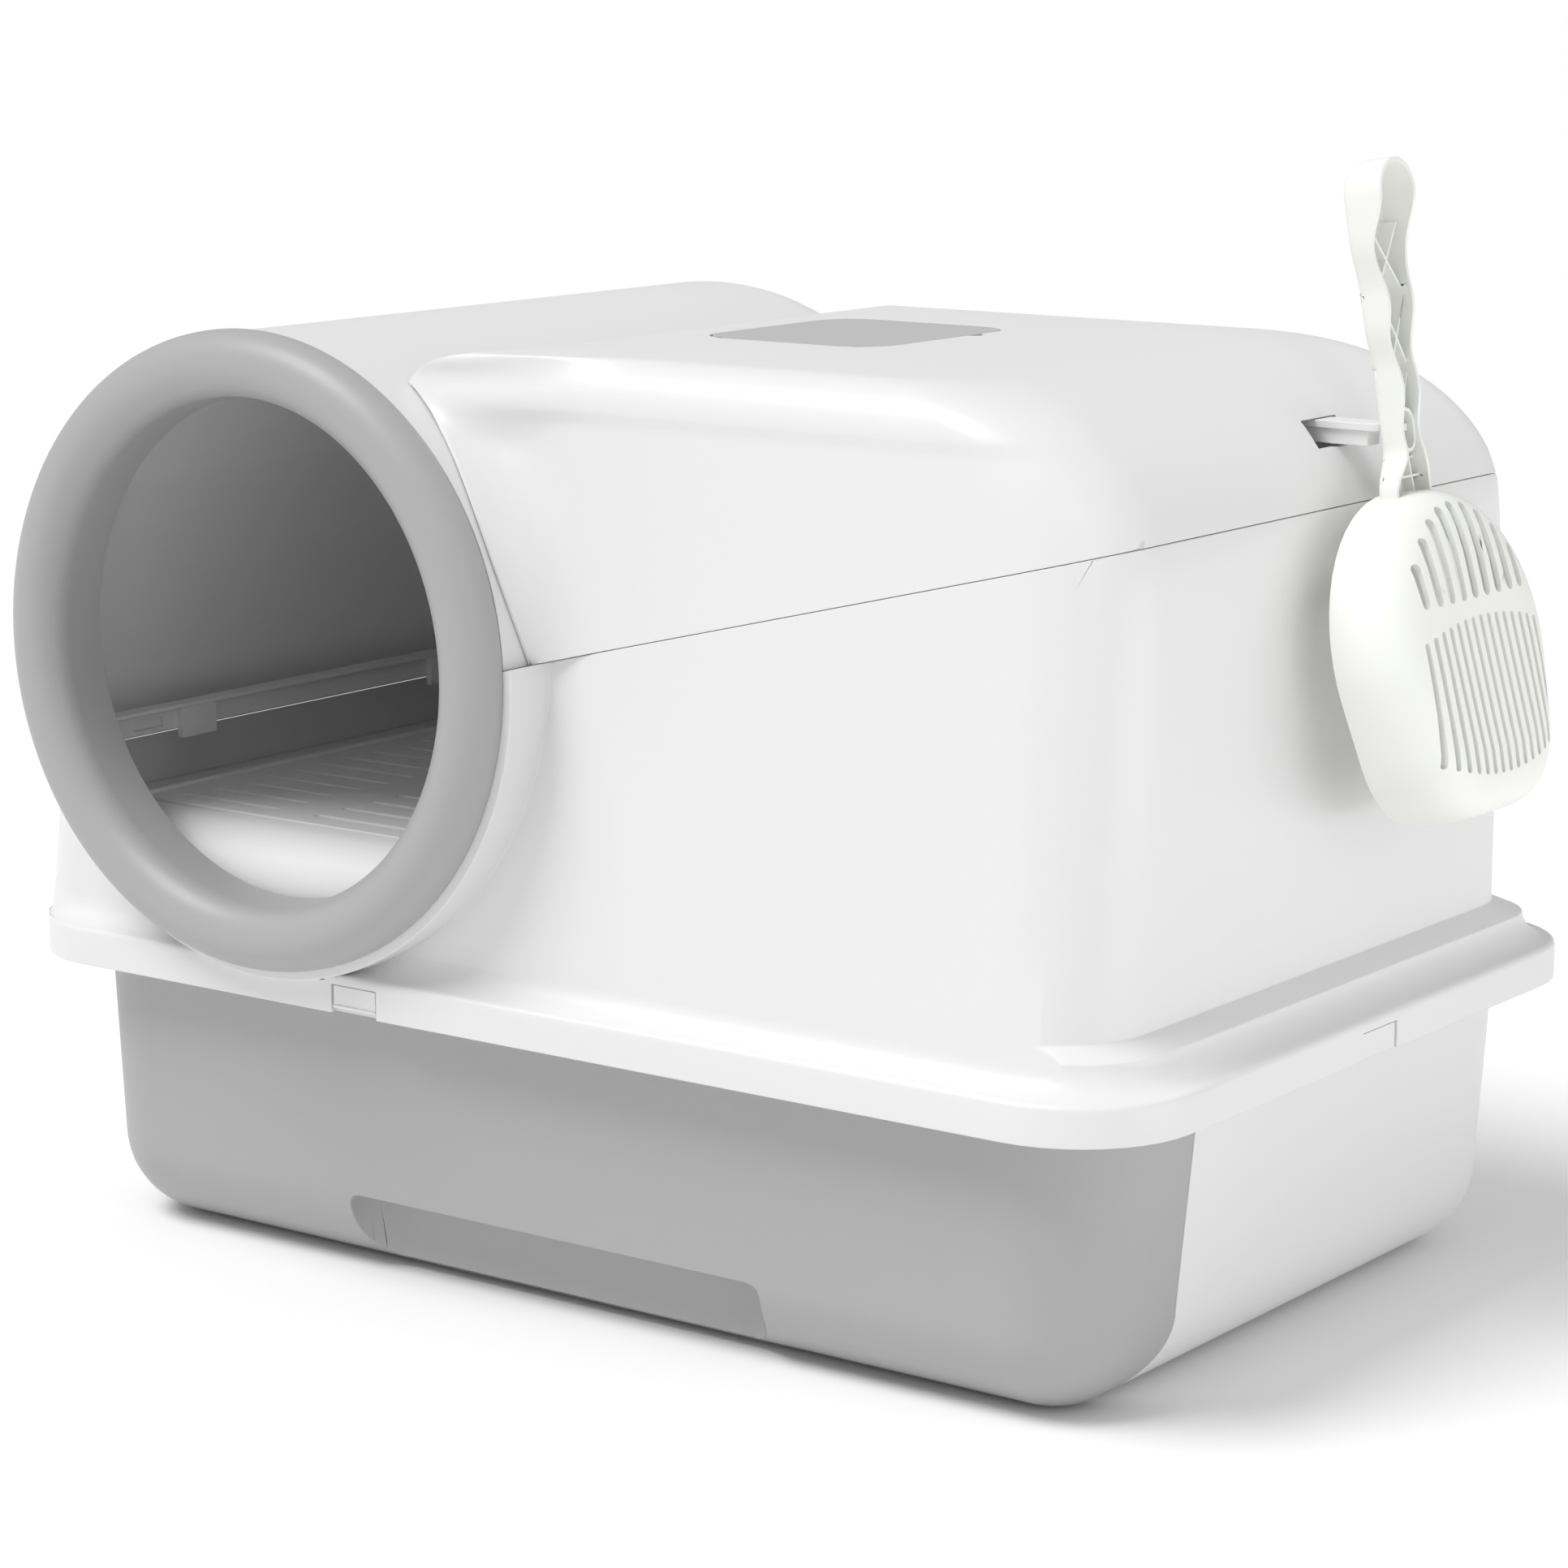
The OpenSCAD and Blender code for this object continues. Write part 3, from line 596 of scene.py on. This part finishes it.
# ---------- base and drawer ----------
def base_form(t, lift=0.0):
    """Outside of base and drawer front with its round bottom edge, drawn in by t."""
    rings = []
    for k in range(13):
        a = math.radians(90 * k / 12)
        e, z = FILLET - (FILLET - t) * math.sin(a), FILLET - (FILLET - t) * math.cos(a)
        hx, hy = BASE_X - BASE_LEAN - e, BASE_Y - BASE_LEAN / 2 - e
        rings.append(ring_at(rounded(-hx, hx, -hy, hy, [FILLET - e] * 4, 12), z))
    hx, hy = BASE_X - t, BASE_Y - t
    rings.append(ring_at(rounded(-hx, hx, -hy, hy, [RIM_R - t] * 4, 12), BASE_H + lift))
    return loft("base_form", rings)


def drawer_zone(g):
    """Side view of the space that the drawer front fills, grown by g."""
    top_r, low_r = 12, 34
    back, top, low = RETURN_Y + g, BASE_H - GAP + g, -g - 1
    outline = [(-FAR, low), (back - low_r, low)] + arc(back - low_r, low_r - g, low_r, 270, 360, 12)
    outline += arc(back - top_r, top - top_r, top_r, 0, 90, 8) + [(-FAR, top)]
    return prism("zone", outline, "x", -FAR, FAR)


def recess(g, height):
    """Finger recess with round ends and a rounded roof, grown by g."""
    x1, back, r = 105 + g, -BASE_Y + 23 + g, 19 + g
    roof = height + g
    rings = []
    for z, e in ((-6, 0), (roof - 5, 0), (roof - 2.2, 0.8), (roof - 0.6, 2.6), (roof, 5)):
        rings.append(ring_at(rounded(-x1 + e, x1 - e, -260, back - e, [r - e] * 4, 12), z))
    return loft("recess", rings)


def build_drawer_front():
    """Drawer front with its returns round the corners and the finger recess under it."""
    front = base_form(0)
    keep(front, drawer_zone(0))
    inner = base_form(3, 2)
    cut(inner, recess(WALL, RECESS_H))
    cut(front, inner, recess(0, RECESS_H))
    return piece(soften(front, 0.7), "drawer", "grey_trim", "drawer_front")


def build_base_frame():
    """Base, open at the front, with the plate round its top that carries the hood."""
    base = base_form(0)
    cut(base, base_form(WALL, 2), drawer_zone(GAP + 0.2))
    inner, top, step = WALL + 1, FLANGE - WALL - GAP, 3
    x, y, r = RIM_X - inner, RIM_Y - inner, RIM_R - inner
    plate = prism("plate", rounded(-x, x, -y, y, [r] * 4, 12), "z", BASE_H, top)
    hx, hy = BASE_X - WALL - 1, BASE_Y - WALL - 1
    hole = rounded(-hx, hx, -hy, hy, [RIM_R - WALL] * 4, 12)
    cut(plate, prism("plate_hole", hole, "z", BASE_H - 2, top + 2))
    hollow = rounded(step - x, x - step, step - y, y - step, [r - step] * 4, 12)
    cut(plate, prism("plate_step", hollow, "z", BASE_H + 3, top + 2))
    join(base, plate)
    return piece(soften(base, 0.6), "base", "white_shell", "base_frame")


# ---------- inside ----------
def build_seam_strip():
    """Strip on the left wall with its ledge and window."""
    x0, z0 = strip_low.x, strip_low.z
    y0, y1 = strip_low.y, strip_high.y
    bar = box("strip_skin", (x0, y0, z0), (x0 + 5, y1, z0 + 9.5))
    cut(bar, box("window", (x0 + 3.2, -132, z0 + 2), (x0 + 6, -114, z0 + 6.5)))
    under, over, reach = z0 + 9.4, z0 + 11, x0 + 9
    join(bar, prism("ledge", [(x0, under), (reach, under), (reach, over), (x0, over)], "y", y0, y1))
    return piece(soften(bar, 0.3, 1), "hood", "white_shell", "seam_strip")


def build_pedal():
    """Plate with rows of shallow grooves, each with a small hole through it."""
    outline = rounded(pedal_low.x, pedal_high.x, pedal_low.y, pedal_high.y, [12] * 4, 8)
    plate = prism("pedal_skin", outline, "z", pedal_low.z, pedal_high.z)
    slots = []
    for x in (-203.5, -128, -52.5):
        for k in range(16):
            y = -127 + 17.3 * k
            groove = stadium(x, y, 54.4, 3.2)
            hole = stadium(x - 25, y, 4.6, 2.4, 5)
            slots.append(prism("groove", groove, "z", pedal_high.z - 1.1, pedal_high.z + 3))
            slots.append(prism("hole", hole, "z", pedal_low.z - 2, pedal_high.z - 0.6))
    cut(plate, merge(*slots))
    return piece(soften(plate, 0.35, 1), "pedal_plate", "white_shell", "pedal")


def build_pedal_bead():
    """Bead along the pedal's left edge."""
    x, z, end = pedal_low.x + 2.4, pedal_high.z - 0.1, 6
    outline = [(x + p[0], z + p[1]) for p in arc(0, 0, 1.5, 0, 180, 8)]
    bead = prism("pedal_bead", outline, "y", pedal_low.y + end, pedal_high.y - end)
    return piece(soften(bead, 0, 1), "pedal_plate", "white_shell")


# ---------- scoop: built at the origin as (depth, w, h), then leaned and moved ----------
def placed(obj, origin, lean):
    """Moves a piece built at the origin to its leaning place."""
    obj.data.transform(Matrix.Translation(origin * MM) @ Matrix.Rotation(math.radians(-lean), 4, "Y"))
    return obj


def egg(r, low_half, q, height, centre, n=30):
    """Outline of the scoop's head as (w, h) pairs: a wide arc of radius r whose middle lies centre
    below the top, over two arcs of radius q, low_half to each side, at its foot."""
    cx, cz = low_half, q - height
    d = math.hypot(cx, cz + centre)
    # angle at which the line touching both circles leaves them
    tilt = math.degrees(math.acos((r - q) / d)) + math.degrees(math.atan2(cz + centre, cx))
    half = arc(0, -centre, r, 90, tilt, n // 2) + arc(cx, cz, q, tilt, -90, n // 3)
    return half + [(-w, h) for w, h in half[::-1][:-1]]


def head_rings(t, start):
    """Slices of the head from its rim, at a depth of start, to its face, drawn in by t."""
    # share of the depth, and how far the slice has come in from the outline
    profile = [(0, 0), (0.28, 0), (0.5, 0.5), (0.66, 1.6), (0.78, 3.6),
               (0.87, 6.6), (0.93, 10.5), (0.97, 16), (1, 26)]
    rings = []
    for share, e in profile:
        ring = []
        for w, h in egg(60 - t - e, 15, 38 - t - e, 128.5 - t - e, 60):
            depth = start
            if share > 0:
                depth = share * (HEAD_DEPTH - h * HEAD_TAPER) - (t if share > 0.5 else 0)
            ring.append((depth, w, h))
        rings.append(ring)
    return rings


def head_slots():
    """Outlines of the head's slots: nine wide ones above, fifteen fine ones in a bowed field below."""
    slots = []
    for k in range(-4, 5):
        w = k * 9.4
        length = 38.5 - 0.0145 * w ** 2
        slots.append(stadium_up(w, -44.7 + length / 2, length, 5.2))
    for k in range(-7, 8):
        w = k * 6.2
        bow = 1 - (w / 43.4) ** 2
        top, foot = 5.6 * bow - 56.6, -104.5 - 7.6 * bow
        slots.append(stadium_up(w, (top + foot) / 2, top - foot, 2.8))
    return slots


def build_scoop_bowl():
    """Hollow head with its slots."""
    head = loft("scoop_bowl_skin", head_rings(0, 0))
    cut(head, loft("head_inner", head_rings(2.2, -3)))
    cut(head, merge(*[prism("slot", outline, "x", 15, 45) for outline in head_slots()]))
    placed(head, HEAD_TOP, HEAD_LEAN)
    return piece(soften(head, 0.2), "scoop", "scoop_plastic", "scoop_bowl")


def ease(a, b, t):
    """From a to b along half a cosine wave, as t goes from 0 to 1."""
    return a + (b - a) * (1 - math.cos(math.pi * clamp(t))) / 2


def half_at(h):
    """Half width of the handle at a height above its foot: broad foot, waist, neck and broad top."""
    foot, waist, neck = 14, 7.3, 10.4
    if h < 30:
        return ease(foot, waist, (h - 1) / 18)
    if h < 72:
        return ease(waist, neck, (h - 48) / 18)
    return ease(neck, CROWN_R, (h - 76) / 24)


def depth_at(h):
    """Depth of the handle at a height above its foot: two waves, then a deeper top."""
    foot, grip, wave, neck, top = 9, 11.8, 1.2, 10.6, 17
    if h < 16:
        return ease(foot, grip, (h - 1) / 15)
    if h < 91:
        return grip + wave * math.cos(math.tau * (h - 41) / 33)
    return ease(neck, top, (h - 93) / 24)


def handle_outline(t):
    """Outline of the handle as (w, h) pairs, drawn in by t."""
    right = [(half_at(h) - t, h) for h in [HANDLE_LOW] + list(range(0, 114, 2))]
    crown = [(x, CROWN_H + y) for x, y in arc(0, 0, CROWN_R - t, 0, 180, 18)]
    return right + crown + [(-w, h) for w, h in right[::-1]]


def rib(a, b, top):
    """Thin wall between two (w, h) points on the handle's back, up to a depth."""
    half, low = 0.55, 0.8
    (w0, h0), (w1, h1) = a, b
    d = math.hypot(w1 - w0, h1 - h0)
    nw, nh = (h1 - h0) / d * half, -(w1 - w0) / d * half
    outline = [(w0 + nw, h0 + nh), (w1 + nw, h1 + nh), (w1 - nw, h1 - nh), (w0 - nw, h0 - nh)]
    return prism("rib", outline, "x", low, top)


def handle_ribs():
    """Zigzag of crossing ribs up the handle, then two straight across its foot."""
    crossing = (((-11, 104), (9.6, 78), 8.5), ((-9.6, 77), (6.4, 49), 9),
                ((-6.4, 49), (0, 34), 8.5), ((3.4, 18), (6, -4), 6))
    ribs = []
    for side in (-1, 1):
        for (w0, h0), (w1, h1), top in crossing:
            ribs.append(rib((side * w0, h0), (side * w1, h1), top))
    for w, h in ((8, 14), (12, 6.7)):
        ribs.append(rib((-w, h), (w, h), 6))
    return ribs


def build_scoop_handle():
    """Tray-shaped handle with ribs, a hanging hole in a collar, and a wavy front edge."""
    wall = 1.9
    rounding = [(0, 2.6), (0.5, 1.4), (1.3, 0.6), (2.6, 0.1), (4, 0), (22, 0)]
    body = loft("scoop_handle_skin", [[(d, w, h) for w, h in handle_outline(e)] for d, e in rounding])
    cut(body, loft("handle_inner", [[(d, w, h) for w, h in handle_outline(wall)] for d in (wall, 24)]))
    front = [(depth_at(h), h) for h in range(HANDLE_LOW, 131, 2)]
    over = prism("handle_front", front + [(30, 130), (30, HANDLE_LOW)], "y", -20, 20)
    hole_h, hole_l = 24.75, 14.5
    join(body, prism("collar", stadium_up(0, hole_h, hole_l + 3, 11.4), "x", 0.6, 9.2))
    join(body, *handle_ribs())
    cut(body, over, prism("hole", stadium_up(0, hole_h, hole_l, 8.6), "x", -2, 24))
    placed(body, HANDLE_FOOT, HANDLE_LEAN)
    cut(body, placed(loft("head_tool", head_rings(0.8, -3)), HEAD_TOP, HEAD_LEAN))
    return piece(soften(body, 0.25), "scoop", "scoop_plastic", "scoop_handle")


# ---------- small pieces ----------
def build_filter_cover():
    """Flat plate with round corners, flush in the lid's top."""
    outline = rounded(cover_low.x, cover_high.x, cover_low.y, cover_high.y, [18] * 4, 12)
    plate = prism("filter_cover_skin", outline, "z", cover_low.z, cover_high.z)
    return piece(soften(plate, 0.5), "cover", "pale_grey", "filter_cover")


def build_scoop_hook():
    """Flat tab with a nose, the web under it and the foot plate inside the lid."""
    low, high = box_mm("scoop_hook")
    x0, x1, z = low.x + 4, high.x - 7, high.z - 3
    y0, y1 = low.y + 12, high.y - 4
    mid = (y0 + y1) / 2
    hook = prism("scoop_hook_skin", rounded(x0, x1, y0, y1, (0, 4, 4, 0), 6), "z", z - 3, z)
    nose = rounded(x1 - 3, high.x, SCOOP_Y - 3.8, SCOOP_Y + 3.8, (0, 2, 2, 0), 5)
    join(hook, prism("hook_nose", nose, "z", z - 3, z - 0.02),
         box("hook_web", (x0, mid - 5, z - 9), (x1 - 5, mid + 5, z - 2)),
         box("hook_foot", (low.x, low.y, low.z), (x0 + 0.1, high.y, high.z)))
    return piece(soften(hook, 0.4), "lid", "white_shell", "scoop_hook")


def build_pedal_frame():
    """Ledge round the space under the tunnel that carries the pedal."""
    low, high = box_mm("pedal_frame")
    left, back = left_wall(high.z) + WALL + 0.5, back_side(high.z, WALL) - 0.5
    outline = rounded(left, high.x, low.y, back, (20, 2, 2, 25))
    ledge = prism("pedal_frame_skin", outline, "z", low.z, high.z)
    hole = rounded(pedal_low.x + 8, high.x - 13, low.y + 12, pedal_high.y - 8, [6] * 4)
    cut(ledge, prism("ledge_hole", hole, "z", low.z - 1, high.z + 1))
    return piece(soften(ledge, 0.4), "hood", "white_shell", "pedal_frame")


def build_entry_sill():
    """Convex step from the entrance up to the pedal."""
    low, high = box_mm("entry_sill")
    r = high.z - low.z
    outline = arc(high.y, low.z, r, 90, 180, 16) + arc(high.y, low.z, r - WALL, 180, 90, 16)
    sill = prism("entry_sill_skin", outline, "x", low.x + 6, high.x)
    return piece(soften(sill, 0.3), "hood", "white_shell", "entry_sill")


# ---------- scene ----------
def build_all():
    build_hood_lower()
    build_rim_clips()
    build_tunnel_cover()
    build_lid()
    build_entrance_ring()
    build_drawer_front()
    build_base_frame()
    build_seam_strip()
    build_pedal()
    build_pedal_bead()
    build_filter_cover()
    build_scoop_hook()
    build_pedal_frame()
    build_entry_sill()
    build_scoop_bowl()
    build_scoop_handle()
    for entry in frame["record"]["subparts"]:
        node = nodes[entry["node"]]
        paint(node, entry["material_slot"])


def set_world(scene):
    world = bpy.data.worlds.new("studio")
    world.use_nodes = True
    background = world.node_tree.nodes["Background"]
    background.inputs["Color"].default_value = (1, 1, 1, 1)
    background.inputs["Strength"].default_value = 0.55
    scene.world = world


def set_floor():
    half, thick = 60000, 20
    floor = box("floor", (-half, -half, -thick), (half, half, 0))
    floor.data.materials.append(plastic("floor_paint", (0.95, 0.95, 0.95), 0.75, 0.0, 0.1))


def sun_light(scene, name, direction, power, angle):
    data = bpy.data.lights.new(name, "SUN")
    data.energy, data.angle = power, math.radians(angle)
    obj = bpy.data.objects.new(name, data)
    scene.collection.objects.link(obj)
    obj.rotation_euler = Vector(direction).to_track_quat("-Z", "Y").to_euler()


def area_light(scene, name, place, target, size, power):
    """Rectangular light at a place in metres, turned to a target."""
    data = bpy.data.lights.new(name, "AREA")
    data.shape, data.size, data.size_y = "RECTANGLE", size[0], size[1]
    data.energy = power
    obj = bpy.data.objects.new(name, data)
    scene.collection.objects.link(obj)
    obj.location = place
    obj.rotation_euler = (Vector(target) - Vector(place)).to_track_quat("-Z", "Y").to_euler()


def set_camera(scene):
    camera = bpy.data.objects.new("camera", bpy.data.cameras.new("camera"))
    camera.data.sensor_width, camera.data.lens = 36, 101.24
    camera.data.clip_end = 200
    camera.rotation_euler = (math.radians(78.8), 0, math.radians(36.3))
    camera.location = (1.0768, -1.4718, 0.55325)
    scene.collection.objects.link(camera)
    scene.camera = camera


def set_stage():
    """White floor and world, soft sun, a strip of light on the front right corner and a low fill."""
    scene = bpy.context.scene
    scene.view_settings.view_transform = "Standard"
    set_world(scene)
    set_floor()
    sun_light(scene, "key", (0.3, 0.45, -0.9), 2.0, 30)
    area_light(scene, "corner_strip", (1.3, -0.75, 0.75), (0.2, -0.1, 0.2), (0.25, 1.2), 1.4)
    area_light(scene, "side_fill", (1.5, 0.3, 0.12), (0.26, 0.05, 0.06), (1.2, 0.3), 3.0)
    set_camera(scene)


build_all()
set_stage()
